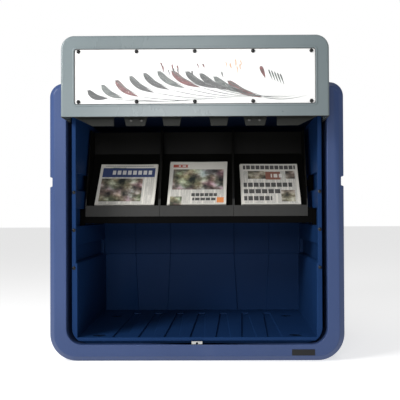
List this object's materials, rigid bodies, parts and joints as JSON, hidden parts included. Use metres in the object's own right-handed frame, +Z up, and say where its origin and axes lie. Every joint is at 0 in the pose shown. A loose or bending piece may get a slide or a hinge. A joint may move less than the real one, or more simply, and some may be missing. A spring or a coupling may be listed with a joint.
{
  "type": "newspaper vending box",
  "caption": "Wide moulded newspaper vending box with a raised up-and-over door carrying a poster header, a sloped display shelf above an open bay, and bolt-down floor.",
  "frame": {"origin": "on the ground in the middle of the box, directly below the axis that the door turns on", "axes": "+X to the right seen from the front, +Y to the back, +Z up; the door is stored raised"},
  "size_m": [1.27, 1.094, 1.3689],
  "materials": {
    "blue_shell": "moulded blue polyethylene, faintly textured and scuffed",
    "navy_liner": "moulded navy polyethylene, satin",
    "black_bin": "moulded black plastic, satin",
    "grey_door": "light blue-grey moulded plastic, satin",
    "grey_frame": "dark warm grey plastic",
    "clear_sheet": "clear polycarbonate sheet",
    "black_rubber": "matt black rubber",
    "printed_poster": "white printed sheet with abstract grey and red strokes",
    "black_plastic": "black moulded plastic",
    "bearing_plastic": "natural white acetal",
    "zinc_steel": "zinc plated steel",
    "painted_steel": "black powder coat on steel",
    "newsprint": null
  },
  "bodies": {
    "cabinet": {"bin_centre": "black_bin", "bin_left": "black_bin", "bin_right": "black_bin", "inner_liner": "navy_liner", "keeper_screws": "zinc_steel", "liner_fixings": "black_plastic", "lock_keeper": "zinc_steel", "name_plate": "black_plastic", "newspapers_centre": "newsprint", "newspapers_left": "newsprint", "newspapers_right": "newsprint", "outer_shell": "blue_shell", "pivot_bush_left": "bearing_plastic", "pivot_bush_right": "bearing_plastic", "pivot_pin_left": "zinc_steel", "pivot_pin_right": "zinc_steel", "pivot_washer_inner_left": "bearing_plastic", "pivot_washer_inner_right": "bearing_plastic", "pivot_washer_outer_left": "bearing_plastic", "pivot_washer_outer_right": "bearing_plastic", "rail_blocks_front": "black_plastic", "rail_blocks_rear": "black_plastic", "roof_panel": "navy_liner", "shelf_rail_front": "black_plastic", "shelf_rail_rear": "black_plastic", "stop_buffer_left": "black_rubber", "stop_buffer_right": "black_rubber"},
    "door": {"door_shell": "grey_door", "door_window": "clear_sheet", "window_gasket": "black_rubber", "pull_handle": "black_plastic", "door_seal": "black_rubber", "poster_sheet": "printed_poster", "poster_cover": "clear_sheet", "poster_screws": "black_plastic", "door_rib_frame": "grey_frame", "rib_bolts": "zinc_steel", "lock_housing": "zinc_steel", "rod_guides": "black_plastic", "door_arm_left": "painted_steel", "door_arm_right": "painted_steel", "arm_bolts": "zinc_steel"},
    "lock_barrel": {"lock_barrel": "zinc_steel"},
    "latch_rod": {"latch_rod": "zinc_steel"}
  },
  "joints": [
    {"name": "door_swing", "type": "hinge", "parent": "cabinet", "child": "door", "pos_m": [0, 0, 0.612], "axis": [1, 0, 0], "range_deg": [0, 90]},
    {"name": "lock_turn", "type": "hinge", "parent": "door", "child": "lock_barrel", "pos_m": [0, -0.498, 1.31], "axis": [0, 0, 1], "range_deg": [0, 90]},
    {"name": "rod_slide", "type": "slide", "parent": "door", "child": "latch_rod", "axis": [0, 0, -1], "range_m": [0, 0.02]}
  ],
  "couplings": [
    {"joint": "lock_turn", "follows": "rod_slide", "rad_per_m": 78.54}
  ]
}
